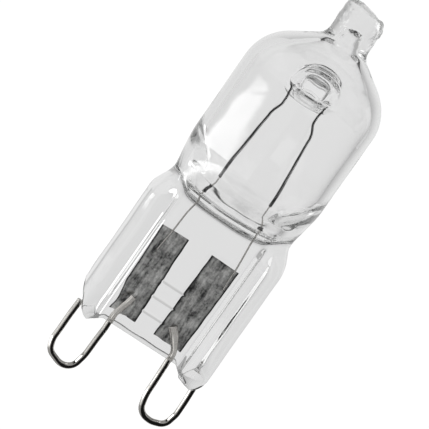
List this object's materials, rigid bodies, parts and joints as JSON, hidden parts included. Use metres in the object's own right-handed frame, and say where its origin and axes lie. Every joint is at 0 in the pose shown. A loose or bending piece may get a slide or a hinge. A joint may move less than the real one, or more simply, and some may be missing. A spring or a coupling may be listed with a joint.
{
  "type": "halogen capsule bulb",
  "caption": "Clear quartz halogen capsule lamp: a blown bulb with a pressed glass base, sealed foils and looped pins that plug into a spring-contact holder.",
  "frame": {"origin": "on the lamp's axis, in the plane of the foot of the glass pinch between the pins", "axes": "+Z along the lamp from the pins to the exhaust tip, +X across the flat of the pinch towards the right pin, -Y is the front"},
  "size_m": [0.0142, 0.0136, 0.0428],
  "materials": {
    "quartz_glass": "clear fused quartz, fire-polished, lightly wavy at the pinch",
    "molybdenum_foil": "dull dark grey etched foil with lengthwise streaks",
    "nickel_wire": "bright nickel-plated drawn wire",
    "molybdenum_wire": "drawn wire, satin grey",
    "tungsten": "dark grey wound wire"
  },
  "bodies": {
    "root": {"envelope": "quartz_glass", "left_foil": "molybdenum_foil", "right_foil": "molybdenum_foil", "left_pin": "nickel_wire", "right_pin": "nickel_wire", "left_inner_lead": "molybdenum_wire", "right_inner_lead": "molybdenum_wire", "filament": "tungsten"}
  },
  "joints": []
}
